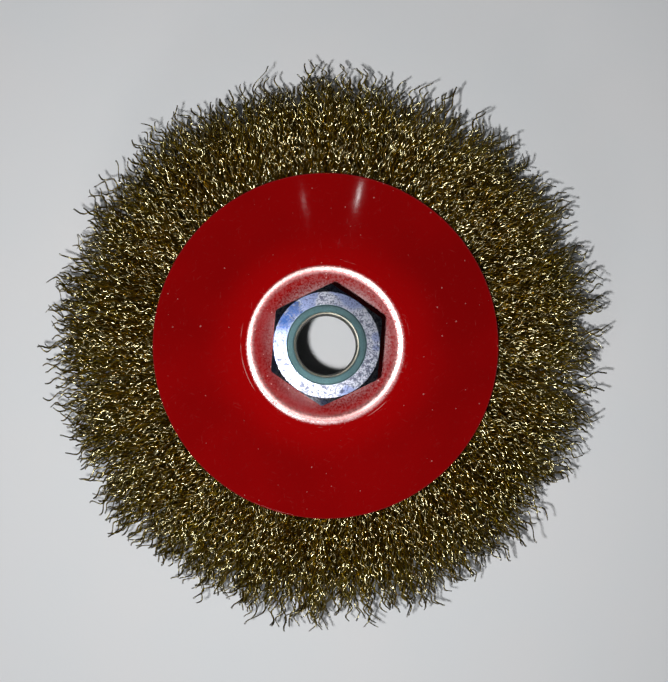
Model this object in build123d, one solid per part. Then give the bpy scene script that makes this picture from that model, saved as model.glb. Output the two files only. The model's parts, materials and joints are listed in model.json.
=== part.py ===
from build123d import *
import math
import os

# Crimped wire bevel brush for an angle grinder. Millimetres, degrees.
# Origin on the arbor axis at the plane the lowest wire tips stand on, +Z along the axis towards the nut.

# Pressed sheet
SHEET = 1.2                   # thickness of the cup and of the inner plate
STAND_HEIGHT = 6.6            # clear height under the inner plate's rim

# Inner plate: flat crown, sloping hub wall, flange cone
PLATE_RIM_RADIUS = 31.0
PLATE_SLOPE = 20.0            # fall of the flange outwards
PLATE_HUB_RADIUS = 15.5       # where the hub wall meets the flange
PLATE_CROWN_RADIUS = 12.6     # where the crown turns down into the hub wall
PLATE_HUB_DEPTH = 9.0
PLATE_BEND = 2.0              # outside bend radius

# Outer cup: land under the nut, raised shoulder, cone
CUP_RIM_RADIUS = 36.4
CUP_SLOPE = 15.0              # fall of the cone outwards
CUP_LAND_RADIUS = 12.2        # where the land turns up into the shoulder
CUP_LAND_BEND = 16.0          # hollow radius of that turn
CUP_CREST_RADIUS = 16.3       # where the shoulder turns down into the cone
CUP_CREST_RISE = 0.62         # that corner above the land
CUP_BEND = 7.7                # outside radius of the shoulder
RIM_ROUND = 0.4               # rounding of the sheet edges

# Arbor nut, M14 x 2
NUT_ACROSS_FLATS = 21.0
NUT_HEIGHT = 10.4             # hexagon above the land
NUT_TURN = 25.5               # angle of one corner from +X
NUT_CORNER_ANGLE = 30.0       # chamfer of the hexagon's corners
NUT_FACE_INSET = 0.05         # flat end faces inside the across-flats circle
BORE_RADIUS = 6.1             # minor radius of the thread
COUNTERSINK_RADIUS = 7.75
COUNTERSINK_ANGLE = 45.0
BORE_CHAMFER = 0.8            # at the foot of the spigot
SPIGOT_RADIUS = 8.4
SPIGOT_FIT = 0.1              # spigot to sheet, radial
LIP_RADIUS = 10.2             # rolled lip under the crown
LIP_THICKNESS = 1.6
LIP_ROUND = 0.6

# Holding ring that the wires are folded over
RING_WIRE_RADIUS = 1.5
RING_STANDOFF = 4.2           # centre of its wire outside the hub
RING_FIT = 0.15               # wire fold to ring

# Wires
BUNDLES = 12
BUNDLE_GAP = 0.3              # degrees between the roots of two bundles
ROOT_FIT = 0.25               # wire root to sheet
ROOT_STANDOFF = 1.2           # wire fold outside the hub
ROOT_SETBACK = 0.6            # wire root's outer end inside the plate's rim
STRAND_LAYERS = 5
STRANDS_PER_LAYER = 8
STRAND_WIDTH = 1.2            # across the bundle
STRAND_THICKNESS = 1.0
STRAND_EMBED = 1.5            # length of a strand inside its root
STRAND_STAGGER = 0.2          # shift of alternate layers, in strand pitches
STRAND_RIM_GAP = 0.35         # uppermost strand under the cup's rim
CRIMP_STEP = 3.0              # half a crimp wave
CRIMP_DEPTH = 0.65            # crimp to each side
TIP_RADIUS = 58.6             # uppermost wire tips
TIP_HEIGHT = 17.4
LOW_TIP_RADIUS = 48.5         # lowest wire tips
TIP_UNEVEN = 2.6              # spread of the trimmed lengths
TIP_FLAT = 0.5                # lowest tips worn flat by this much

tan_plate = math.tan(math.radians(PLATE_SLOPE))
tan_cup = math.tan(math.radians(CUP_SLOPE))

# Heights up the stack, from the floor
plate_rim_top = STAND_HEIGHT + SHEET / math.cos(math.radians(PLATE_SLOPE))
hub_foot = plate_rim_top + (PLATE_RIM_RADIUS - PLATE_HUB_RADIUS) * tan_plate
crown_top = hub_foot + PLATE_HUB_DEPTH
land_top = crown_top + SHEET
crest_top = land_top + CUP_CREST_RISE
cup_rim_top = crest_top - (CUP_RIM_RADIUS - CUP_CREST_RADIUS) * tan_cup
nut_top = land_top + NUT_HEIGHT
spigot_foot = crown_top - SHEET - LIP_THICKNESS
sheet_hole = SPIGOT_RADIUS + SPIGOT_FIT


def plate_face(radius):
    """Height of the flange's upper side."""
    return plate_rim_top + (PLATE_RIM_RADIUS - radius) * tan_plate


def cup_under(radius):
    """Height of the cone's lower side."""
    return cup_rim_top + (CUP_RIM_RADIUS - radius) * tan_cup - SHEET / math.cos(math.radians(CUP_SLOPE))


def pressed_sheet(points, bends, thickness):
    """Turned section of a pressed sheet: its upper side as points, thickened downwards."""
    upper = FilletPolyline(*points, radius=bends)
    section = make_face(offset(upper, thickness, side=Side.RIGHT).edges())
    return revolve(Plane.XZ * section, Axis.Z)


def round_rim(solid, radius):
    """Rounds the two circles at the outer edge of a sheet."""
    outer = solid.edges().filter_by(GeomType.CIRCLE).sort_by(lambda e: e.radius)[-2:]
    return fillet(outer, radius)


def cup():
    points = [
        (sheet_hole, land_top),
        (CUP_LAND_RADIUS, land_top),
        (CUP_CREST_RADIUS, crest_top),
        (CUP_RIM_RADIUS, cup_rim_top),
    ]
    body = pressed_sheet(points, [CUP_LAND_BEND, CUP_BEND], SHEET)
    return round_rim(body, RIM_ROUND)


def inner_plate():
    points = [
        (sheet_hole, crown_top),
        (PLATE_CROWN_RADIUS, crown_top),
        (PLATE_HUB_RADIUS, hub_foot),
        (PLATE_RIM_RADIUS, plate_rim_top),
    ]
    body = pressed_sheet(points, [PLATE_BEND, PLATE_BEND], SHEET)
    return round_rim(body, RIM_ROUND)


def arbor_nut():
    corner = NUT_ACROSS_FLATS / 2 / math.cos(math.radians(30))
    hexagon = Rot(0, 0, NUT_TURN) * RegularPolygon(corner, 6)
    prism = extrude(Pos(0, 0, land_top) * hexagon, NUT_HEIGHT)
    face_radius = NUT_ACROSS_FLATS / 2 - NUT_FACE_INSET
    reach = corner + NUT_FACE_INSET
    fall = (reach - face_radius) * math.tan(math.radians(NUT_CORNER_ANGLE))
    envelope = Polyline(
        (0, 0, land_top),
        (face_radius, 0, land_top),
        (reach, 0, land_top + fall),
        (reach, 0, nut_top - fall),
        (face_radius, 0, nut_top),
        (0, 0, nut_top),
        close=True,
    )
    prism = prism & revolve(make_face(envelope), Axis.Z)

    spigot = Pos(0, 0, spigot_foot) * Cylinder(
        SPIGOT_RADIUS, land_top - spigot_foot, align=(Align.CENTER, Align.CENTER, Align.MIN)
    )
    lip = Pos(0, 0, spigot_foot) * Cylinder(
        LIP_RADIUS, LIP_THICKNESS, align=(Align.CENTER, Align.CENTER, Align.MIN)
    )
    lip = fillet(lip.edges().sort_by(Axis.Z)[:1], LIP_ROUND)

    sink_depth = (COUNTERSINK_RADIUS - BORE_RADIUS) / math.tan(math.radians(COUNTERSINK_ANGLE))
    drill = Polyline(
        (0, 0, spigot_foot),
        (BORE_RADIUS + BORE_CHAMFER, 0, spigot_foot),
        (BORE_RADIUS, 0, spigot_foot + BORE_CHAMFER),
        (BORE_RADIUS, 0, nut_top - sink_depth),
        (COUNTERSINK_RADIUS, 0, nut_top),
        (0, 0, nut_top),
        close=True,
    )
    return prism + spigot + lip - revolve(make_face(drill), Axis.Z)


ring_radius = PLATE_HUB_RADIUS + RING_STANDOFF
ring_height = (plate_face(ring_radius) + cup_under(ring_radius)) / 2


def holding_ring():
    return Pos(0, 0, ring_height) * Torus(ring_radius, RING_WIRE_RADIUS)


mouth_radius = PLATE_RIM_RADIUS - ROOT_SETBACK
fold_radius = PLATE_HUB_RADIUS + ROOT_STANDOFF


def wire_root():
    """The folded wires between the cup and the plate, over one bundle's angle."""
    sweep = 360 / BUNDLES - BUNDLE_GAP
    low = ROOT_FIT / math.cos(math.radians(PLATE_SLOPE))
    high = ROOT_FIT / math.cos(math.radians(CUP_SLOPE))
    shoulder = max(fold_radius, CUP_CREST_RADIUS + CUP_BEND / 4)
    fold_foot = plate_face(fold_radius) + low
    fold_top = cup_under(shoulder) - high
    lean = (PLATE_HUB_RADIUS - PLATE_CROWN_RADIUS) / PLATE_HUB_DEPTH
    section = Polyline(
        (fold_radius, 0, fold_foot),
        (mouth_radius, 0, plate_face(mouth_radius) + low),
        (mouth_radius, 0, cup_under(mouth_radius) - high),
        (shoulder, 0, fold_top),
        (fold_radius - (fold_top - fold_foot) * lean, 0, fold_top),
        close=True,
    )
    groove = Pos(ring_radius, 0, ring_height) * (Plane.XZ * Circle(RING_WIRE_RADIUS + RING_FIT))
    block = revolve(make_face(section) - groove, Axis.Z, revolution_arc=sweep)
    return Rot(0, 0, -sweep / 2) * block


def strand(layer, place):
    """One crimped strand: a four-sided wire folded to and fro along its length."""
    share = layer / (STRAND_LAYERS - 1)
    half = STRAND_WIDTH / 2
    under_rim = cup_under(CUP_RIM_RADIUS) - STRAND_RIM_GAP - STRAND_THICKNESS / 2
    climb = (TIP_HEIGHT - under_rim) / (TIP_RADIUS - CUP_RIM_RADIUS)
    top_root = under_rim - climb * (CUP_RIM_RADIUS - mouth_radius)
    low_root = plate_face(mouth_radius) + ROOT_FIT + STRAND_THICKNESS
    root_z = top_root + (low_root - top_root) * share
    tip_r = TIP_RADIUS + (LOW_TIP_RADIUS - TIP_RADIUS) * share
    tip_z = TIP_HEIGHT + (-TIP_FLAT - TIP_HEIGHT) * share

    rise = math.atan2(tip_z - root_z, tip_r - mouth_radius)
    uneven = (place * 0.618 + layer * 0.382 * (place > 0)) % 1
    length = (tip_r - mouth_radius) / math.cos(rise) - TIP_UNEVEN * uneven
    pitch = 360 / BUNDLES / STRANDS_PER_LAYER
    shift = STRAND_STAGGER if layer % 2 else -STRAND_STAGGER
    turn = (place - (STRANDS_PER_LAYER - 1) / 2 + shift) * pitch

    bends = int(length // CRIMP_STEP)
    side = 1 if layer % 2 else -1
    middle = [(-STRAND_EMBED, 0), (CRIMP_STEP / 2, 0)]
    middle += [((k + 1) * CRIMP_STEP, side * CRIMP_DEPTH * (-1) ** k) for k in range(bends - 1)]
    middle.append((length, 0))
    outline = [(x, y + half) for x, y in middle] + [(x, y - half) for x, y in reversed(middle)]
    flat = make_face(Polyline(*outline, close=True))
    along = Vector(math.cos(rise), 0, math.sin(rise))
    across = Vector(-math.sin(rise), 0, math.cos(rise))
    plane = Plane(origin=(mouth_radius, 0, root_z), x_dir=along, z_dir=across)
    return Rot(0, 0, turn) * extrude(plane * flat, STRAND_THICKNESS / 2, both=True)


def wire_bundle():
    strands = [strand(layer, place) for layer in range(STRAND_LAYERS) for place in range(STRANDS_PER_LAYER)]
    bundle = wire_root().fuse(*strands)
    reach = 2 * TIP_RADIUS
    floor = Pos(0, 0, -reach / 2) * Box(2 * reach, 2 * reach, reach)
    return bundle - floor


os.makedirs("parts", exist_ok=True)
export_step(cup(), "parts/cup.step")
export_step(inner_plate(), "parts/inner_plate.step")
export_step(arbor_nut(), "parts/arbor_nut.step")
export_step(holding_ring(), "parts/holding_ring.step")

first = wire_bundle()
for number in range(BUNDLES):
    bundle = Rot(0, 0, 360 / BUNDLES * (number + 0.5)) * first
    export_step(bundle, f"parts/wire_bundle_{number + 1:02d}.step", write_pcurves=False)

strand_count = BUNDLES * STRAND_LAYERS * STRANDS_PER_LAYER
print(f"strands: {strand_count}, nut top at {nut_top:.2f}, cup rim at {cup_rim_top:.2f}, land at {land_top:.2f}")
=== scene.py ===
import json
import math
import random

import bpy
import numpy as np
from mathutils import Matrix, Vector


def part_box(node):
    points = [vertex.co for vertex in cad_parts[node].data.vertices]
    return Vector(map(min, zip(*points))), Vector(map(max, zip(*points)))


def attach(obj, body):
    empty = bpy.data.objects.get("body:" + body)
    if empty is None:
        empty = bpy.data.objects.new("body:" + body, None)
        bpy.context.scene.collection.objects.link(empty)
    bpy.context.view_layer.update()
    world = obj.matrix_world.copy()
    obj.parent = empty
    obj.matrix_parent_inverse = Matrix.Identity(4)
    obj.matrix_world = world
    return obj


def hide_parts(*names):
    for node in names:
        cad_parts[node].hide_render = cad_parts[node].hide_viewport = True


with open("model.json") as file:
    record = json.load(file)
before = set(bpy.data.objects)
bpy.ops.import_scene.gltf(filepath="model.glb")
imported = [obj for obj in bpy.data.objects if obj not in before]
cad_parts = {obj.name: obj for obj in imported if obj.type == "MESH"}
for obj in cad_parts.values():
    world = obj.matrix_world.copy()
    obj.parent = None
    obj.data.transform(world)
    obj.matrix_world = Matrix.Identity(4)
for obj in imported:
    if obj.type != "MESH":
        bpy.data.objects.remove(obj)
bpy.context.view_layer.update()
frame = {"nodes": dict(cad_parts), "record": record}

MM = 0.001
rng = random.Random(115)
mounts = {mount["name"]: mount for mount in frame["record"]["mounts"]}


def level(node, corner):
    """Height of a node's lowest (0) or highest (1) corner, in millimetres."""
    return round(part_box(node)[corner].z / MM, 3)


# Nut, in millimetres and degrees
NUT_TOP = level("arbor_nut", 1)
NUT_HEIGHT = 10.4             # hexagon above the cup's land
NUT_CORNER_RADIUS = 12.124
NUT_TURN = 25.5               # one corner from +X
NUT_CORNER_ROUND = 0.45
NUT_CHAMFER = 30.0
NUT_FACE_RADIUS = 10.45
FACE_FALL = 0.14              # of the top face, outwards
FACE_ROUND_OUT = 0.06         # rounding of its rim
FACE_ROUND_IN = 0.03
LAND_TOP = NUT_TOP - NUT_HEIGHT

# Spigot, rolled lip, bore and thread, in millimetres
SHEET = 1.2                   # inner plate's thickness
LIP_TOP = level("inner_plate", 1) - SHEET
SPIGOT_FOOT = level("arbor_nut", 0)
SPIGOT_RADIUS = 8.4
SPIGOT_LAP = 0.4              # of the spigot into the hexagon
LIP_RADIUS = 10.2
LIP_ROUND = 0.8
LIP_CENTRE = 0.75             # of that rounding, below the lip's top
LIP_FLAT = 0.3                # from the rim to the flat top
COUNTERSINK_RADIUS = 7.75
MOUTH_ROUND = 0.14            # rounding of the countersink's rim, outwards
EDGE_BREAK = 0.08             # rounding of the bore's edges
BORE_CHAMFER = 0.8
THREAD_MINOR_RADIUS = mounts["arbor_thread"]["dims"]["r_mm"]
THREAD_MAJOR_RADIUS = 7.0
THREAD_PITCH = 2.0
THREAD_TURNS = 7
THREAD_START = 2.6            # below the spigot's foot
THREAD_OVERLAP = 0.25         # of the groove into the open bore
OVERSHOOT = 2.0               # of a cutting tool past the piece

# Wires, in millimetres
WIRE_RADIUS = 0.20
CRIMP = 0.66                  # sixth of a crimp wave
CRIMP_DEPTH = 0.50            # to each side
FINE_TIP = 0.6                # share of a stray wire after which its steps are finer
ROOT_RADIUS = 33.4            # uppermost layer
ROOT_INSET = 3.0              # from the uppermost layer to the lowest
ROOT_HEIGHT = 16.65
ROOT_DROP = 7.35
TIP_RADIUS = 57.1
TIP_INSET = 9.0
TIP_CURVE = 1.15              # power that rounds the brush's working edge
TIP_HEIGHT = 17.6
TIP_DROP = 16.7
TIP_CLEAR = 0.8               # lowest height that a wire aims at
FLOOR_CLEAR = 0.05
FARTHEST = 60.1               # longest stray wires
BUNDLES = 12
CLUMPS = 600
WIRES_PER_CLUMP = 11
PATTERNS = 20                 # differently bent wires
STRAY_PATTERNS = 12
WIRE_LENGTH = (25.0, 26.5)    # least and most
STRAY_LENGTH = (28.0, 29.5)
WIRE_CURL = 0.8               # deviation, at the tips
STRAY_CURL = 2.0
TONES = 64                    # shades of wire
TURN_STEP = 0.7548777         # these two spread the clumps evenly
DEPTH_STEP = 0.5698403

# Unevenness of the brush, in degrees, millimetres and shares of its depth
CLUMP_LEAN = 7.0
CLUMP_LIFT = 1.1
CLUMP_REACH = (-0.6, 1.1)     # mean and deviation
WIRE_DEPTH = 0.08
WIRE_TURN = 1.6
WIRE_LEAN = 5.5
WIRE_LIFT = 1.5
WIRE_REACH = (-0.25, 1.0)     # mean and deviation
STRAY_DEPTH = 0.6             # deepest layer with stray wires
STRAY_SHARE = 0.2             # of the wires above it
STRAY_LEAN = 9.0
STRAY_REACH = (1.2, 4.6)      # least and most

# Zones of the cup for wear, relief, a lighter shoulder and painted shade round the nut, in millimetres:
# pairs of radii run from where a zone begins to where it is full
DULL_LAND = (16.9, 15.9)
SCRATCHED_LAND = (19.0, 16.0)
BRIGHT_SHOULDER = (26.0, 17.5)
# painted shade: darker red round the nut's foot
NUT_PAINTED_SHADE = (14.2, 12.2)
RUB_RAGGED = (16.0, 15.2)
RUB_RADIUS = 15.62
RUB_WIDTH = 1.75              # inwards
RUB_SHARPER = 2.8             # times narrower outwards
RUB_NOISE = (0.6, 2.4)        # of its outer and its inner edge
RUB_SHIFT = (0.20, -0.45, 0.0)
HAIRLINE_RADIUS = 17.30
HAIRLINE = (0.11, 0.03)       # half its width
CREASE_RADIUS = 17.9
CREASE = (0.22, 0.0)          # half its width
DISH_RADIUS = 15.4
DISH_EASE = 2.2               # over which the dish flattens out
DISH_SLOPE = 0.123
DISH_SHIFT = (-0.2, -0.6, 0.0)

# Zones of the nut's zinc, as heights or radii in the same way
FLANK_BELOW = (33.3, 32.8)
FLANK_OUTSIDE = (7.4, 7.8)
SINK_OUTER = (7.95, 7.85)
SINK_RIM = (7.55, 7.75)
SINK_LEDGE = (6.85, 6.60)
SINK_INNER = (6.46, 6.50)
THREAD_ZONE = (6.50, 6.46)
BLUE_SPOTS = ((-8.3, 4.6, 34.1), (-6.5, 6.9, 34.1))
BLUE_SPOT_EDGE = (2.2, 0.8)
BLUE_SPOT_RAGGED = 6.0

# Depth of the relief that a finish gives its surface, in millimetres
PAINT_RELIEF = 0.03
ZINC_RELIEF = 0.018
BOARD_RELIEF = 0.04

# Colours of the red paint
RED_LOW = (0.205, 0.0006, 0.0010, 1)
RED_HIGH = (0.245, 0.0008, 0.0013, 1)
RED_SHOULDER = (0.295, 0.0007, 0.0012, 1)
RED_SCRATCHED = (0.46, 0.12, 0.11, 1)
RED_DUSTY = (0.55, 0.24, 0.22, 1)
# painted shade round the nut's foot
RED_PAINTED_SHADE = (0.10, 0.001, 0.002, 1)
RED_FLECK = (0.75, 0.50, 0.47, 1)
RED_HAIRLINE = (0.52, 0.26, 0.24, 1)
RUBBED_STEEL = (0.31, 0.275, 0.26, 1)

# Colours of zinc and steel: light, bluish and pitted
NUT_TINTS = ((0.175, 0.18, 0.205, 1), (0.085, 0.10, 0.165, 1), (0.014, 0.017, 0.032, 1))
PLATE_TINTS = ((0.62, 0.63, 0.62, 1), (0.52, 0.55, 0.58, 1), (0.20, 0.20, 0.20, 1))
RING_TINTS = ((0.42, 0.42, 0.42, 1), (0.36, 0.35, 0.33, 1), (0.15, 0.13, 0.12, 1))
FLANK_LIGHT = (0.46, 0.48, 0.51, 1)
FLANK_PIT = (0.17, 0.18, 0.22, 1)
DEEP_BLUE = (0.008, 0.024, 0.078, 1)
TEAL_LOW = (0.17, 0.245, 0.255, 1)
TEAL_HIGH = (0.33, 0.45, 0.465, 1)
# painted shade along the countersink's rim and its inner ledge
TEAL_EDGE_SHADE = (0.045, 0.075, 0.085, 1)
# painted shade inside the bore, on the thread
BORE_PAINTED_SHADE = (0.060, 0.057, 0.046, 1)

# Colours of the wires
BRASS_SHADES = (
    (0.0, (0.255, 0.168, 0.011, 1)),
    (0.2, (0.35, 0.240, 0.018, 1)),
    (0.55, (0.41, 0.290, 0.024, 1)),
    (0.8, (0.38, 0.298, 0.026, 1)),
    (0.9, (0.43, 0.288, 0.029, 1)),
    (1.0, (0.52, 0.38, 0.066, 1)),
)
BRASS_STAIN = (0.15, 0.090, 0.005, 1)
BRASS_INNER = (0.34, 0.190, 0.012, 1)
# painted glint: the pale brass that stands in for the lamp's highlight where a wire faces the eye
BRASS_PAINTED_GLINT = (0.56, 0.530, 0.340, 1)
BRASS_TIP = (0.085, 0.066, 0.020, 1)
CUT_STEEL = (0.30, 0.29, 0.26, 1)

# Colours of the surroundings
BOARD_COOL = (0.712, 0.728, 0.744, 1)
BOARD_WARM = (0.730, 0.732, 0.742, 1)
SKY_BANDS = (
    (0.18, (0.30, 0.31, 0.32, 1)),
    (0.42, (0.016, 0.01664, 0.0176, 1)),
    (0.90, (0.016, 0.01664, 0.0176, 1)),
    (1.0, (0.016, 0.016, 0.016, 1)),
)

# Place and lens of the camera, in millimetres
EYE = (-2.0, -2.0, 250.0)
AIM = (1.7, 0.95, 18.0)
LENS = 58.2
SENSOR_HEIGHT = 36.0


# Camera

def place_camera():
    data = bpy.data.cameras.new("camera")
    data.sensor_fit = "VERTICAL"
    data.sensor_height = SENSOR_HEIGHT
    data.lens = LENS
    data.clip_start = 0.01
    camera = bpy.data.objects.new("camera", data)
    bpy.context.scene.collection.objects.link(camera)
    eye = Vector(EYE) * MM
    back = (eye - Vector(AIM) * MM).normalized()
    right = Vector((0, 1, 0)).cross(back).normalized()
    up = back.cross(right)
    camera.matrix_world = Matrix.Translation(eye) @ Matrix((right, up, back)).transposed().to_4x4()
    bpy.context.scene.camera = camera


place_camera()


# Lights and surroundings

def lamp(name, place, watts, radius):
    data = bpy.data.lights.new(name, "POINT")
    data.energy = watts
    data.shadow_soft_size = radius * MM
    light = bpy.data.objects.new(name, data)
    light.location = Vector(place) * MM
    bpy.context.scene.collection.objects.link(light)


lamp("key", place=(-22.6, -14.1, 250), watts=2.0, radius=4)
lamp("fill", place=(-120, -380, 260), watts=1.0, radius=60)
lamp("ceiling_right", place=(213, 937, 1187), watts=0.10, radius=9)
lamp("ceiling_left", place=(-130, 943, 1209), watts=0.017, radius=9)


def colour_stops(ramp, stops):
    first, *middle, last = stops
    for element, (position, colour) in zip(ramp.elements, (first, last)):
        element.position = position
        element.color = colour
    for position, colour in middle:
        ramp.elements.new(position).color = colour


def surroundings():
    world = bpy.data.worlds.new("studio")
    world.use_nodes = True
    tree = world.node_tree
    sky = tree.nodes["Background"]
    coords = tree.nodes.new("ShaderNodeTexCoord")
    split = tree.nodes.new("ShaderNodeSeparateXYZ")
    ramp = tree.nodes.new("ShaderNodeValToRGB")
    colour_stops(ramp.color_ramp, SKY_BANDS)
    tree.links.new(coords.outputs["Generated"], split.inputs[0])
    tree.links.new(split.outputs["Z"], ramp.inputs["Fac"])
    tree.links.new(ramp.outputs["Color"], sky.inputs["Color"])
    bpy.context.scene.world = world


surroundings()
bpy.context.scene.view_settings.view_transform = "Standard"


# Node helpers

def add(tree, kind, inputs=None, **settings):
    """A node with its settings, then its inputs as links or as plain values."""
    node = tree.nodes.new(kind)
    for key, value in settings.items():
        setattr(node, key, value)
    for key, value in (inputs or {}).items():
        if isinstance(value, bpy.types.NodeSocket):
            tree.links.new(value, node.inputs[key])
        else:
            node.inputs[key].default_value = value
    return node


def math_node(tree, operation, a, b=0.0, clamp=False):
    return add(tree, "ShaderNodeMath", {0: a, 1: b}, operation=operation, use_clamp=clamp).outputs[0]


def times(tree, a, b):
    return math_node(tree, "MULTIPLY", a, b)


def vector_node(tree, operation, a, b):
    return add(tree, "ShaderNodeVectorMath", {0: a, 1: b}, operation=operation).outputs[0]


def mix_colour(tree, factor, a, b):
    return add(tree, "ShaderNodeMix", {0: factor, 6: a, 7: b}, data_type="RGBA").outputs[2]


def between(tree, value, low, high, out_low=0.0, out_high=1.0):
    """A smooth step from out_low at low to out_high at high."""
    inputs = {0: value, 1: low, 2: high, 3: out_low, 4: out_high}
    return add(tree, "ShaderNodeMapRange", inputs, interpolation_type="SMOOTHSTEP").outputs[0]


def zone(tree, distance, span, out_low=0.0, out_high=1.0):
    """A smooth step over a span that is given in millimetres."""
    return between(tree, distance, span[0] * MM, span[1] * MM, out_low, out_high)


def noise(tree, place, scale, detail, roughness=0.5):
    inputs = {"Vector": place, "Scale": scale, "Detail": detail, "Roughness": roughness}
    return add(tree, "ShaderNodeTexNoise", inputs).outputs[0]


def layered(tree, layers):
    """Sum of masks, each times its own amount."""
    total = 0.0
    for mask, amount in layers:
        total = math_node(tree, "ADD", total, times(tree, mask, amount))
    return total


def near(tree, distance, centre):
    """How far a distance is from a centre that is given in millimetres."""
    return math_node(tree, "ABSOLUTE", math_node(tree, "SUBTRACT", distance, centre * MM))


def relief(tree, height, depth):
    inputs = {"Height": height, "Distance": depth * MM, "Strength": 1.0}
    return add(tree, "ShaderNodeBump", inputs).outputs[0]


# Shared effects

def effect(name, inputs, outputs):
    tree = bpy.data.node_groups.new(name, "ShaderNodeTree")
    for label, kind, value in inputs:
        socket = tree.interface.new_socket(label, in_out="INPUT", socket_type=kind)
        if value is not None:
            socket.default_value = value
    for label, kind in outputs:
        tree.interface.new_socket(label, in_out="OUTPUT", socket_type=kind)
    return tree, tree.nodes.new("NodeGroupInput"), tree.nodes.new("NodeGroupOutput")


def make_turned():
    """Distance from the arbor axis, height, and a coordinate whose grain runs round the axis."""
    tree, given, out = effect(
        "turned",
        [("Vector", "NodeSocketVector", None)],
        [("Radius", "NodeSocketFloat"), ("Height", "NodeSocketFloat"), ("Round", "NodeSocketVector")],
    )
    split = add(tree, "ShaderNodeSeparateXYZ", {0: given.outputs[0]})
    x, y, z = split.outputs
    radius = math_node(tree, "SQRT", math_node(tree, "ADD", times(tree, x, x), times(tree, y, y)))
    angle = math_node(tree, "ARCTAN2", y, x)
    lap = add(tree, "ShaderNodeCombineXYZ",
              {0: math_node(tree, "COSINE", angle), 1: math_node(tree, "SINE", angle)})
    lap = add(tree, "ShaderNodeVectorMath", {0: lap.outputs[0], 3: 0.004}, operation="SCALE")
    rise = add(tree, "ShaderNodeCombineXYZ", {2: radius})
    lap = vector_node(tree, "ADD", lap.outputs[0], rise.outputs[0])
    for result, socket in zip((radius, z, lap), out.inputs):
        tree.links.new(result, socket)
    return tree


def make_scratches():
    """Short fine scratches in three directions."""
    tree, given, out = effect(
        "scratches",
        [("Vector", "NodeSocketVector", None), ("Scale", "NodeSocketFloat", 300.0),
         ("Amount", "NodeSocketFloat", 0.5)],
        [("Mask", "NodeSocketFloat")],
    )
    place, scale, amount = given.outputs[:3]
    mask = 0.0
    for turn, stretch, shift in ((0.35, 14.0, 0.0), (1.45, 11.0, 3.1), (2.5, 17.0, 7.7)):
        spun = add(tree, "ShaderNodeVectorRotate", {"Vector": place, "Angle": turn}, rotation_type="Z_AXIS")
        drawn_out = vector_node(tree, "MULTIPLY", spun.outputs[0], (1.0, stretch, 1.0))
        grain = noise(tree, vector_node(tree, "ADD", drawn_out, (shift, shift, 0)), scale, 2.0, 0.6)
        mask = math_node(tree, "MAXIMUM", mask, between(tree, grain, 0.685, 0.74))
    tree.links.new(math_node(tree, "MULTIPLY", mask, amount, clamp=True), out.inputs[0])
    return tree


def make_specks():
    """Scattered dust specks of uneven size."""
    tree, given, out = effect(
        "specks",
        [("Vector", "NodeSocketVector", None), ("Scale", "NodeSocketFloat", 500.0),
         ("Cover", "NodeSocketFloat", 0.2)],
        [("Mask", "NodeSocketFloat")],
    )
    place, scale, cover = given.outputs[:3]
    cells = add(tree, "ShaderNodeTexVoronoi", {"Vector": place, "Scale": scale})
    pick = add(tree, "ShaderNodeSeparateColor", {0: cells.outputs["Color"]})
    chosen = math_node(tree, "LESS_THAN", pick.outputs[0], cover)
    size = times(tree, pick.outputs[1], 0.22)
    speck = between(tree, math_node(tree, "SUBTRACT", size, cells.outputs["Distance"]), 0.0, 0.06)
    tree.links.new(times(tree, speck, chosen), out.inputs[0])
    return tree


def make_mottle():
    """Slow uneven patches, and a grain fourteen times finer."""
    tree, given, out = effect(
        "mottle",
        [("Vector", "NodeSocketVector", None), ("Scale", "NodeSocketFloat", 60.0)],
        [("Patch", "NodeSocketFloat"), ("Grain", "NodeSocketFloat")],
    )
    place, scale = given.outputs[:2]
    slow = noise(tree, place, scale, 3.0)
    tree.links.new(between(tree, slow, 0.3, 0.7), out.inputs[0])
    tree.links.new(noise(tree, place, times(tree, scale, 14.0), 4.0), out.inputs[1])
    return tree


TURNED = make_turned()
SCRATCHES = make_scratches()
SPECKS = make_specks()
MOTTLE = make_mottle()


def use(tree, group, place, **inputs):
    return add(tree, "ShaderNodeGroup", {"Vector": place, **inputs}, node_tree=group).outputs


def radius_about(tree, place, shift):
    """Distance from the arbor axis after a shift in millimetres, for what isn't quite centred."""
    moved = vector_node(tree, "ADD", place, Vector(shift) * MM)
    return use(tree, TURNED, moved)["Radius"]


def finish_named(name):
    material = bpy.data.materials.new(name)
    material.use_nodes = True
    tree = material.node_tree
    return material, tree, tree.nodes["Principled BSDF"]


# Red paint of the cup

def rubbed_ring(tree, ring, grain, patch):
    """Bare steel along the shoulder, with a clean outer edge and a ragged inner one."""
    past = math_node(tree, "SUBTRACT", ring, RUB_RADIUS * MM)
    off = math_node(tree, "MAXIMUM", times(tree, past, RUB_SHARPER), times(tree, past, -1.0))
    outer, inner = RUB_NOISE
    uneven = zone(tree, ring, RUB_RAGGED, outer * MM, inner * MM)
    ragged = times(tree, math_node(tree, "SUBTRACT", grain, 0.5), uneven)
    rub = zone(tree, math_node(tree, "ADD", off, ragged), (RUB_WIDTH, 0.0))
    rub = math_node(tree, "POWER", rub, 2.0)
    return times(tree, rub, between(tree, patch, 0.3, 0.7, 0.6, 1.0))


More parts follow.
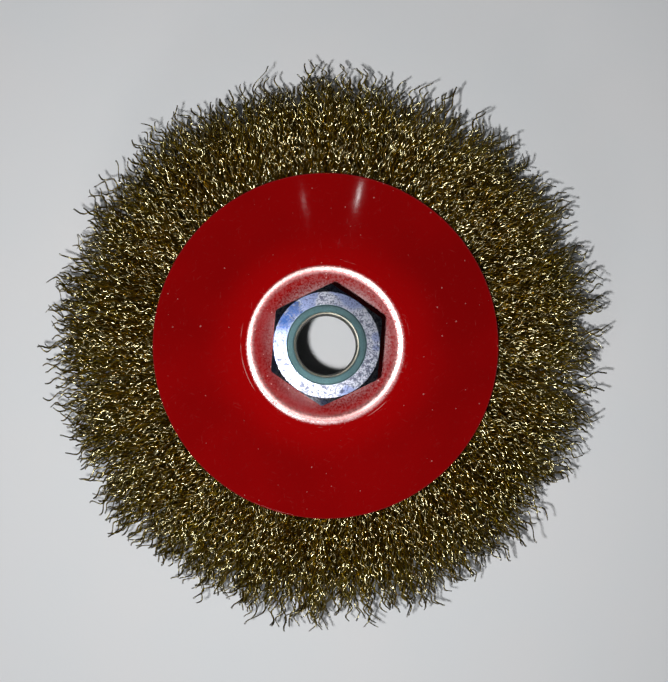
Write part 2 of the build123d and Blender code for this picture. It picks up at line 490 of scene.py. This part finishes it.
def paint_colour(tree, place, radius, ring, land, patch, scratch, dust):
    red = mix_colour(tree, patch, RED_LOW, RED_HIGH)
    red = mix_colour(tree, zone(tree, radius, BRIGHT_SHOULDER), red, RED_SHOULDER)
    red = mix_colour(tree, times(tree, scratch, 0.5), red, RED_SCRATCHED)
    red = mix_colour(tree, times(tree, dust, 0.5), red, RED_DUSTY)
    # Painted shade: darker red round the nut's foot, where the nut shades the land
    red = mix_colour(tree, times(tree, zone(tree, radius, NUT_PAINTED_SHADE), 0.45), red, RED_PAINTED_SHADE)
    fleck = times(tree, use(tree, SPECKS, place, Scale=1150.0, Cover=0.40)["Mask"], land)
    red = mix_colour(tree, times(tree, fleck, 0.7), red, RED_FLECK)
    hairline = zone(tree, near(tree, ring, HAIRLINE_RADIUS), HAIRLINE)
    broken = between(tree, noise(tree, place, 95.0, 3.0), 0.50, 0.60, 0.0, 0.7)
    return mix_colour(tree, times(tree, hairline, broken), red, RED_HAIRLINE)


def red_paint():
    material, tree, skin = finish_named("red_paint")
    place = add(tree, "ShaderNodeTexCoord").outputs["Object"]
    turned = use(tree, TURNED, place)
    radius = turned["Radius"]
    ring = radius_about(tree, place, RUB_SHIFT)
    land = zone(tree, radius, DULL_LAND)
    mottle = use(tree, MOTTLE, place, Scale=45.0)
    patch = mottle["Patch"]
    scratched = zone(tree, radius, SCRATCHED_LAND, 0.22, 0.9)
    scratch = use(tree, SCRATCHES, place, Scale=420.0, Amount=scratched)["Mask"]
    dust = use(tree, SPECKS, place, Scale=1000.0, Cover=0.12)["Mask"]
    grain = noise(tree, place, 4200.0, 3.0)
    rub = rubbed_ring(tree, ring, grain, patch)

    red = paint_colour(tree, place, radius, ring, land, patch, scratch, dust)
    tree.links.new(mix_colour(tree, rub, red, RUBBED_STEEL), skin.inputs["Base Color"])
    tree.links.new(times(tree, rub, 0.9), skin.inputs["Metallic"])

    worn = noise(tree, place, 2100.0, 5.0, 0.7)
    scuff = times(tree, land, between(tree, worn, 0.40, 0.62, 0.20, 0.40))
    scuff = math_node(tree, "MAXIMUM", scuff, times(tree, rub, 0.38))
    gloss = between(tree, mottle["Grain"], 0.3, 0.7, 0.055, 0.075)
    gloss = math_node(tree, "ADD", gloss, times(tree, scratch, 0.2))
    tree.links.new(math_node(tree, "MAXIMUM", gloss, scuff), skin.inputs["Roughness"])

    crease = zone(tree, near(tree, radius, CREASE_RADIUS), CREASE)
    dish = add(tree, "ShaderNodeMath",
               {0: radius_about(tree, place, DISH_SHIFT), 1: DISH_RADIUS * MM, 2: DISH_EASE * MM},
               operation="SMOOTH_MIN").outputs[0]
    peel = noise(tree, place, 650.0, 1.0)
    ripple = noise(tree, turned["Round"], 800.0, 2.0)
    height = layered(tree, ((crease, 0.6), (dish, DISH_SLOPE / (PAINT_RELIEF * MM)), (patch, 0.8),
                            (scratch, -0.12), (dust, 0.3), (peel, 0.06), (ripple, 0.12),
                            (times(tree, grain, land), 0.2)))
    tree.links.new(relief(tree, height, PAINT_RELIEF), skin.inputs["Normal"])
    return material


# Zinc of the nut and the inner plate, steel of the holding ring

def nut_tint(tree, place, turned, tint, pits, crystal, rings):
    """Bright flanks, two deep blue spots, a teal countersink with painted shade along its edges, and
    painted shade on the thread in the bore.
    """
    radius = turned["Radius"]
    flank = times(tree, zone(tree, turned["Height"], FLANK_BELOW), zone(tree, radius, FLANK_OUTSIDE))
    tint = mix_colour(tree, flank, tint, mix_colour(tree, times(tree, pits, 0.5), FLANK_LIGHT, FLANK_PIT))

    ragged = times(tree, math_node(tree, "SUBTRACT", crystal, 0.5), BLUE_SPOT_RAGGED * MM)
    for spot in BLUE_SPOTS:
        away = add(tree, "ShaderNodeVectorMath", {0: place, 1: Vector(spot) * MM}, operation="DISTANCE")
        away = math_node(tree, "ADD", away.outputs["Value"], ragged)
        tint = mix_colour(tree, zone(tree, away, BLUE_SPOT_EDGE, 0.0, 0.9), tint, DEEP_BLUE)

    teal = mix_colour(tree, rings, TEAL_LOW, TEAL_HIGH)
    # Painted shade: darker lines along the countersink's rim and at its inner ledge, where the ledge shades
    # it
    edges = math_node(tree, "MAXIMUM", zone(tree, radius, SINK_RIM, 0.0, 0.7),
                      zone(tree, radius, SINK_LEDGE, 0.0, 0.45))
    teal = mix_colour(tree, edges, teal, TEAL_EDGE_SHADE)
    sink = times(tree, zone(tree, radius, SINK_OUTER), zone(tree, radius, SINK_INNER))
    tint = mix_colour(tree, times(tree, sink, 0.95), tint, teal)
    # Painted shade: near-black zinc inside the bore, on the thread
    return mix_colour(tree, zone(tree, radius, THREAD_ZONE), tint, BORE_PAINTED_SHADE)


def zinc(name, tints, roughness, pitted, nut=False):
    """Pitted plate of three tints, with a roughness from the first value to the second."""
    material, tree, skin = finish_named(name)
    place = add(tree, "ShaderNodeTexCoord").outputs["Object"]
    turned = use(tree, TURNED, place)
    mottle = use(tree, MOTTLE, place, Scale=130.0)
    scratch = use(tree, SCRATCHES, place, Scale=420.0, Amount=0.7)["Mask"]
    rings = noise(tree, turned["Round"], 5200.0, 2.0)
    crystal = noise(tree, place, 2900.0, 4.0)
    flake = noise(tree, place, 1150.0, 5.0, 0.65)
    cover = between(tree, mottle["Patch"], 0.0, 1.0, 0.055, -0.03)
    fine = between(tree, math_node(tree, "ADD", crystal, cover), 0.50, 0.58)
    coarse = between(tree, math_node(tree, "ADD", flake, cover), 0.545, 0.60)
    pits = math_node(tree, "MAXIMUM", times(tree, fine, 0.8), coarse)

    light, bluish, dark = tints
    tint = mix_colour(tree, between(tree, mottle["Patch"], 0.55, 0.8), light, bluish)
    tint = mix_colour(tree, times(tree, pits, pitted), tint, dark)
    if nut:
        tint = nut_tint(tree, place, turned, tint, pits, crystal, rings)
    tree.links.new(tint, skin.inputs["Base Color"])
    skin.inputs["Metallic"].default_value = 1.0

    smooth, dull = roughness
    rough = between(tree, mottle["Grain"], 0.3, 0.7, smooth, dull)
    rough = layered(tree, ((rough, 1.0), (pits, 0.06), (scratch, 0.1)))
    tree.links.new(rough, skin.inputs["Roughness"])
    height = layered(tree, ((rings, 0.3), (pits, -0.35), (scratch, -0.5)))
    tree.links.new(relief(tree, height, ZINC_RELIEF), skin.inputs["Normal"])
    return material


# Brass coat of the wires, with a painted glint where they face the eye, and bare steel at their cut ends

def brass_wire():
    material, tree, skin = finish_named("brass_wire")
    tone = add(tree, "ShaderNodeAttribute", attribute_name="tone").outputs["Fac"]
    along = add(tree, "ShaderNodeAttribute", attribute_name="along").outputs["Fac"]
    spot = add(tree, "ShaderNodeCombineXYZ", {0: times(tree, along, 9.0), 1: times(tree, tone, 173.0)})
    stain = use(tree, MOTTLE, spot.outputs[0], Scale=1.0)

    shades = add(tree, "ShaderNodeValToRGB", {"Fac": tone})
    colour_stops(shades.color_ramp, BRASS_SHADES)
    brass = mix_colour(tree, times(tree, stain["Patch"], 0.5), shades.outputs[0], BRASS_STAIN)
    brass = mix_colour(tree, between(tree, along, 0.85, 0.45, 0.0, 0.45), brass, BRASS_INNER)
    # Painted glint: paler brass where the wire faces the eye, standing in for the lamp's highlight
    facing = add(tree, "ShaderNodeLayerWeight", {"Blend": 0.5}).outputs["Facing"]
    brass = mix_colour(tree, between(tree, facing, 0.065, 0.0, 0.0, 0.8), brass, BRASS_PAINTED_GLINT)
    brass = mix_colour(tree, between(tree, along, 0.80, 0.97, 0.0, 0.6), brass, BRASS_TIP)
    bare = math_node(tree, "ADD", along, times(tree, stain["Grain"], 0.05))
    bare = between(tree, bare, 0.985, 1.03)
    tree.links.new(mix_colour(tree, bare, brass, CUT_STEEL), skin.inputs["Base Color"])
    skin.inputs["Metallic"].default_value = 1.0
    tree.links.new(between(tree, stain["Grain"], 0.3, 0.7, 0.278, 0.30), skin.inputs["Roughness"])
    return material


def pale_board():
    material, tree, skin = finish_named("pale_board")
    place = add(tree, "ShaderNodeTexCoord").outputs["Object"]
    cloud = use(tree, MOTTLE, place, Scale=28.0)
    tree.links.new(mix_colour(tree, cloud["Patch"], BOARD_COOL, BOARD_WARM), skin.inputs["Base Color"])
    skin.inputs["Roughness"].default_value = 0.62
    skin.inputs["Specular IOR Level"].default_value = 0.2
    tree.links.new(relief(tree, cloud["Grain"], BOARD_RELIEF), skin.inputs["Normal"])
    return material


# Modelling helpers

def nothing_selected():
    if bpy.context.mode != "OBJECT":
        bpy.ops.object.mode_set(mode="OBJECT")
    bpy.ops.object.select_all(action="DESELECT")


def work_on(piece):
    nothing_selected()
    bpy.context.view_layer.objects.active = piece
    piece.select_set(True)


def turn_on_lathe(name, outline, steps):
    """An outline of (radius, height) in millimetres, from axis to axis, spun round the arbor axis."""
    nothing_selected()
    bpy.ops.mesh.primitive_plane_add(size=MM)
    piece = bpy.context.object
    piece.name = name
    bpy.ops.object.mode_set(mode="EDIT")
    bpy.ops.mesh.select_all(action="SELECT")
    bpy.ops.mesh.merge(type="CENTER")
    bpy.ops.transform.translate(value=(outline[0][0] * MM, 0, outline[0][1] * MM))
    for (r0, z0), (r1, z1) in zip(outline, outline[1:]):
        step = ((r1 - r0) * MM, 0, (z1 - z0) * MM)
        bpy.ops.mesh.extrude_vertices_move(TRANSFORM_OT_translate={"value": step})
    bpy.ops.mesh.select_all(action="SELECT")
    bpy.ops.mesh.spin(steps=steps, angle=math.tau, center=(0, 0, 0), axis=(0, 0, 1))
    bpy.ops.mesh.select_all(action="SELECT")
    bpy.ops.mesh.remove_doubles(threshold=0.002 * MM)
    bpy.ops.mesh.normals_make_consistent(inside=False)
    bpy.ops.object.mode_set(mode="OBJECT")
    return piece


def combine(piece, tool, operation):
    change = piece.modifiers.new(operation.lower(), "BOOLEAN")
    change.object = tool
    change.operation = operation
    change.solver = "EXACT"
    work_on(piece)
    bpy.ops.object.modifier_apply(modifier=change.name)
    bpy.data.objects.remove(tool)


def dress(piece, material, replaced):
    piece.data.materials.clear()
    piece.data.materials.append(material)
    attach(piece, "root")
    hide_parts(replaced)


def arc(centre, radius, start, end, count):
    """Points of an arc in the section plane, angles in degrees."""
    points = []
    for k in range(count + 1):
        angle = math.radians(start + (end - start) * k / count)
        points.append((centre[0] + radius * math.cos(angle), centre[1] + radius * math.sin(angle)))
    return points


# Arbor nut with its helical thread, spigot and rolled lip

def hexagon():
    nothing_selected()
    bpy.ops.mesh.primitive_cylinder_add(
        vertices=6,
        radius=NUT_CORNER_RADIUS * MM,
        depth=(NUT_HEIGHT + 1) * MM,
        location=(0, 0, (LAND_TOP + NUT_TOP) / 2 * MM),
        rotation=(0, 0, math.radians(NUT_TURN - 30.0)),
    )
    nut = bpy.context.object
    nut.name = "threaded_nut"
    bpy.ops.object.transform_apply(location=True, rotation=True, scale=True)
    bpy.ops.object.mode_set(mode="EDIT")
    bpy.ops.mesh.select_all(action="DESELECT")
    bpy.ops.object.mode_set(mode="OBJECT")
    for edge in nut.data.edges:
        a, b = (nut.data.vertices[i].co for i in edge.vertices)
        edge.select = abs(a.z - b.z) > NUT_HEIGHT / 2 * MM
    bpy.ops.object.mode_set(mode="EDIT")
    bpy.ops.mesh.select_mode(type="EDGE")
    bpy.ops.mesh.bevel(offset=NUT_CORNER_ROUND * MM, segments=5, profile=0.5)
    bpy.ops.mesh.select_mode(type="VERT")
    bpy.ops.object.mode_set(mode="OBJECT")
    return nut


def crown_outline():
    """Chamfered ends and the falling top face, as the shape that is kept of the hexagon."""
    slope = math.tan(math.radians(NUT_CHAMFER))
    reach = NUT_CORNER_RADIUS + 1.0
    fall = (reach - NUT_FACE_RADIUS) * slope
    rim = NUT_TOP - FACE_FALL
    return [
        (0, LAND_TOP),
        (NUT_FACE_RADIUS, LAND_TOP),
        (reach, LAND_TOP + fall),
        (reach, NUT_TOP - fall),
        (NUT_FACE_RADIUS + FACE_ROUND_OUT, rim - FACE_ROUND_OUT * slope),
        (NUT_FACE_RADIUS - FACE_ROUND_IN, rim),
        (COUNTERSINK_RADIUS, NUT_TOP),
        (0, NUT_TOP),
    ]


def spigot_outline():
    """The spigot through the cup and the plate, with its lip rolled out under the plate."""
    top = LAND_TOP + SPIGOT_LAP
    rolled = arc((LIP_RADIUS - LIP_ROUND, LIP_TOP - LIP_CENTRE), LIP_ROUND, 45, -80, 14)
    return [
        (0, top),
        (SPIGOT_RADIUS, top),
        (SPIGOT_RADIUS, LIP_TOP),
        (LIP_RADIUS - LIP_FLAT, LIP_TOP - 0.03),
        *rolled,
        (SPIGOT_RADIUS + 0.1, SPIGOT_FOOT + 0.02),
        (SPIGOT_RADIUS - 0.6, SPIGOT_FOOT),
        (0, SPIGOT_FOOT),
    ]


def bore_outline():
    """The thread's minor diameter, chamfered below, with a rounded ledge and countersink above."""
    ledge = NUT_TOP - (COUNTERSINK_RADIUS - THREAD_MINOR_RADIUS)
    foot = SPIGOT_FOOT - OVERSHOOT
    above = NUT_TOP + OVERSHOOT
    mouth = COUNTERSINK_RADIUS + MOUTH_ROUND
    return [
        (0, foot),
        (THREAD_MINOR_RADIUS + BORE_CHAMFER + OVERSHOOT, foot),
        (THREAD_MINOR_RADIUS, SPIGOT_FOOT + BORE_CHAMFER),
        (THREAD_MINOR_RADIUS, ledge - EDGE_BREAK),
        (THREAD_MINOR_RADIUS + 0.05, ledge),
        (THREAD_MINOR_RADIUS + 0.30, ledge + 0.03),
        (COUNTERSINK_RADIUS + EDGE_BREAK, NUT_TOP - EDGE_BREAK),
        (mouth, NUT_TOP),
        (mouth, above),
        (0, above),
    ]


def thread_groove():
    """One section of the groove, wide at the bore and narrow at its root, wound up a helix."""
    nothing_selected()
    bpy.ops.mesh.primitive_plane_add(size=MM)
    groove = bpy.context.object
    bpy.ops.object.mode_set(mode="EDIT")
    bpy.ops.mesh.select_all(action="SELECT")
    bpy.ops.mesh.delete(type="ONLY_FACE")
    bpy.ops.object.mode_set(mode="OBJECT")
    wide = THREAD_PITCH * 0.375 + THREAD_OVERLAP * math.tan(math.radians(30))
    narrow = THREAD_PITCH / 16
    for vertex in groove.data.vertices:
        outer = vertex.co.x > 0
        half = narrow if outer else wide
        r = THREAD_MAJOR_RADIUS if outer else THREAD_MINOR_RADIUS - THREAD_OVERLAP
        z = SPIGOT_FOOT - THREAD_START + (half if vertex.co.y > 0 else -half)
        vertex.co = (r * MM, 0, z * MM)
    helix = groove.modifiers.new("helix", "SCREW")
    helix.axis = "Z"
    helix.screw_offset = THREAD_PITCH * MM
    helix.iterations = THREAD_TURNS
    helix.steps = 40
    helix.render_steps = 40
    helix.use_merge_vertices = False
    bpy.ops.object.modifier_apply(modifier="helix")
    bpy.ops.object.mode_set(mode="EDIT")
    bpy.ops.mesh.select_all(action="SELECT")
    bpy.ops.mesh.fill_holes(sides=6)
    bpy.ops.mesh.select_all(action="SELECT")
    bpy.ops.mesh.normals_make_consistent(inside=False)
    bpy.ops.object.mode_set(mode="OBJECT")
    return groove


def arbor_nut():
    nut = hexagon()
    combine(nut, turn_on_lathe("crown", crown_outline(), 96), "INTERSECT")
    combine(nut, turn_on_lathe("spigot", spigot_outline(), 96), "UNION")
    combine(nut, turn_on_lathe("bore", bore_outline(), 80), "DIFFERENCE")
    combine(nut, thread_groove(), "DIFFERENCE")
    work_on(nut)
    bpy.ops.object.mode_set(mode="EDIT")
    bpy.ops.mesh.select_all(action="SELECT")
    bpy.ops.mesh.remove_doubles(threshold=0.001 * MM)
    bpy.ops.mesh.dissolve_degenerate(threshold=0.001 * MM)
    bpy.ops.object.mode_set(mode="OBJECT")
    bpy.ops.object.shade_smooth_by_angle(angle=math.radians(14))
    return nut


# Crimped wires: some are bent, each a little differently, and then copied all round the brush

def crimp_points(length, curl, stray):
    """Course of a crimped wire that rises along +Z from its root, in millimetres."""
    start = rng.uniform(2.4, 4.6)
    z = start
    phase = rng.uniform(0, math.tau)
    bow = rng.gauss(0, 0.5)
    sway = rng.gauss(0, 0.4)
    skew = rng.uniform(0.8, 2.4)
    points = [(0.0, 0.0, 0.0)]
    while z < length:
        share = z / length
        depth = CRIMP_DEPTH * (rng.uniform(1.25, 1.4) if stray else rng.uniform(0.8, 1.2))
        depth *= min(1.0, 0.5 + (z - start) / 3)
        hook = curl * max(0.0, share - 0.72) ** 2 * 14
        x = bow * share * share + hook + 0.75 * depth * math.sin(phase + skew)
        y = depth * math.sin(phase) + sway * share
        points.append((x, y, z))
        step = rng.uniform(0.84, 1.16) * (0.62 if stray and share > FINE_TIP else 1.0)
        z += CRIMP * step
        phase += math.tau / 6 * step * rng.uniform(0.95, 1.05)
        skew += rng.gauss(0, 0.1 if stray else 0.35)
    return points


def crimped_wire(number, length, curl, stray=False):
    """A three-sided wire along its course, with the attributes and the UV map that its finish needs."""
    nothing_selected()
    bpy.ops.mesh.primitive_circle_add(vertices=3, radius=WIRE_RADIUS * MM, fill_type="NGON")
    wire = bpy.context.object
    wire.name = "crimped_%02d" % number
    points = crimp_points(length, curl, stray)
    bpy.ops.object.mode_set(mode="EDIT")
    bpy.ops.mesh.select_all(action="SELECT")
    for a, b in zip(points, points[1:]):
        step = [(q - p) * MM for p, q in zip(a, b)]
        bpy.ops.mesh.extrude_region_move(TRANSFORM_OT_translate={"value": step})
    bpy.ops.mesh.select_all(action="SELECT")
    bpy.ops.mesh.normals_make_consistent(inside=False)
    bpy.ops.mesh.select_all(action="DESELECT")
    bpy.ops.object.mode_set(mode="OBJECT")
    bpy.ops.object.shade_smooth()

    mesh = wire.data
    for edge in mesh.edges:
        a, b = (mesh.vertices[v].co for v in edge.vertices)
        smooth_tip = stray and a.z > FINE_TIP * length * MM
        edge.use_edge_sharp = abs(a.z - b.z) < 0.01 * MM and not smooth_tip
    end = points[-1][2] * MM
    along = mesh.attributes.new("along", "FLOAT", "POINT")
    along.data.foreach_set("value", [vertex.co.z / end for vertex in mesh.vertices])
    mesh.attributes.new("tone", "FLOAT", "POINT")
    chart = mesh.uv_layers.new(name="OFBake")
    for loop in mesh.loops:
        vertex = mesh.vertices[loop.vertex_index]
        chart.data[loop.index].uv = (0.02 + 0.96 * vertex.co.z / end, 0.5)
    return wire, end / MM


def set_tone(mesh, tone):
    """Gives one wire its shade, and the row of the UV map that belongs to it."""
    shade = np.full(len(mesh.vertices), tone, dtype=np.float32)
    mesh.attributes["tone"].data.foreach_set("value", shade)
    chart = mesh.uv_layers["OFBake"].data
    spots = np.empty(len(chart) * 2, dtype=np.float32)
    chart.foreach_get("uv", spots)
    spots[1::2] = tone
    chart.foreach_set("uv", spots)


def keep_in_reach(mesh, along):
    """Draws a wire in that reaches too far, and lifts one that would sink into the floor."""
    spread = np.empty(len(mesh.vertices) * 3, dtype=np.float32)
    mesh.vertices.foreach_get("co", spread)
    over = np.hypot(spread[0::3], spread[1::3]).max() - FARTHEST * MM
    if over > 0:
        mesh.transform(Matrix.Translation(along * -over))
    sunk = FLOOR_CLEAR * MM - spread[2::3].min()
    if sunk > 0:
        mesh.transform(Matrix.Translation((0, 0, sunk)))


def lay_wire(pattern, turn, depth, lean, lift, reach):
    """One copy of a bent wire, placed from its root under the cup to its tip."""
    root_r = ROOT_RADIUS - ROOT_INSET * depth
    root_z = ROOT_HEIGHT - ROOT_DROP * depth
    tip_r = TIP_RADIUS - TIP_INSET * depth ** TIP_CURVE
    tip_z = TIP_HEIGHT - TIP_DROP * depth
    rise = math.atan2(tip_z - root_z, tip_r - root_r) + math.radians(lift)
    length = (tip_r - root_r) / math.cos(rise) + reach
    lowest = math.asin(max(-0.9, (TIP_CLEAR - root_z) / length))
    rise = max(rise, lowest)
    heading = math.radians(turn + lean)
    begin = math.radians(turn)
    along = Vector((math.cos(rise) * math.cos(heading), math.cos(rise) * math.sin(heading), math.sin(rise)))
    root = Vector((root_r * math.cos(begin), root_r * math.sin(begin), root_z))
    source, full = pattern
    foot = root + along * (length - full)
    place = Matrix.Translation(foot * MM) @ along.to_track_quat("Z", "Y").to_matrix().to_4x4()
    place = place @ Matrix.Rotation(rng.uniform(0, math.tau), 4, "Z")
    mesh = source.data.copy()
    mesh.transform(place)
    set_tone(mesh, (rng.randrange(TONES) + 0.5) / TONES)
    keep_in_reach(mesh, along)
    return mesh


def lay_all_wires(patterns, strays):
    """Wires in loose clumps all round, sorted by the bundle that their roots belong to."""
    bundles = [[] for _ in range(BUNDLES)]
    for clump in range(CLUMPS):
        turn0 = 360.0 * ((clump * TURN_STEP) % 1.0)
        depth0 = (clump * DEPTH_STEP) % 1.0
        wave = math.radians(turn0)
        lean0 = 2.2 * math.sin(5 * wave + 0.7) + 1.8 * math.sin(13 * wave) + rng.gauss(0, CLUMP_LEAN)
        lift0 = rng.gauss(0, CLUMP_LIFT)
        reach0 = rng.gauss(*CLUMP_REACH)
        for _ in range(WIRES_PER_CLUMP):
            depth = min(1.0, max(0.0, depth0 + rng.gauss(0, WIRE_DEPTH)))
            turn = (turn0 + rng.gauss(0, WIRE_TURN)) % 360.0
            stray = depth < STRAY_DEPTH and rng.random() < STRAY_SHARE
            reach = reach0 + rng.gauss(*WIRE_REACH) + (rng.uniform(*STRAY_REACH) if stray else 0.0)
            lean = lean0 + rng.gauss(0, STRAY_LEAN if stray else WIRE_LEAN)
            pattern = rng.choice(strays if stray else patterns)
            lift = lift0 + rng.gauss(0, WIRE_LIFT)
            bundle = bundles[int(turn // (360 / BUNDLES))]
            bundle.append(lay_wire(pattern, turn, depth, lean, lift, reach))
    return bundles


def wire_bundle(number, copies, finish):
    nothing_selected()
    for mesh in copies:
        wire = bpy.data.objects.new("wire", mesh)
        bpy.context.scene.collection.objects.link(wire)
        wire.select_set(True)
    bpy.context.view_layer.objects.active = wire
    bpy.ops.object.join()
    bundle = bpy.context.object
    bundle.name = "crimped_wires_%02d" % number
    bundle.data.name = bundle.name
    dress(bundle, finish, "wire_bundle_%02d" % number)


# Build

paint = red_paint()
nut_zinc = zinc("nut_zinc", NUT_TINTS, roughness=(0.278, 0.30), pitted=0.85, nut=True)
plate_zinc = zinc("plate_zinc", PLATE_TINTS, roughness=(0.30, 0.46), pitted=0.35)
ring_steel = zinc("ring_steel", RING_TINTS, roughness=(0.35, 0.5), pitted=0.35)
wire_finish = brass_wire()

for node, finish in (("cup", paint), ("inner_plate", plate_zinc), ("holding_ring", ring_steel)):
    solid = frame["nodes"][node]
    solid.data.materials.clear()
    solid.data.materials.append(finish)

dress(arbor_nut(), nut_zinc, "arbor_nut")

patterns = [
    crimped_wire(k, rng.uniform(*WIRE_LENGTH), rng.gauss(0, WIRE_CURL))
    for k in range(PATTERNS)
]
strays = [
    crimped_wire(PATTERNS + k, rng.uniform(*STRAY_LENGTH), rng.gauss(0, STRAY_CURL), stray=True)
    for k in range(STRAY_PATTERNS)
]
for number, copies in enumerate(lay_all_wires(patterns, strays), start=1):
    wire_bundle(number, copies, wire_finish)
for source, _ in patterns + strays:
    bpy.data.objects.remove(source)

nothing_selected()
bpy.ops.mesh.primitive_plane_add(size=3.0)
floor = bpy.context.object
floor.name = "floor"
floor.data.materials.append(pale_board())
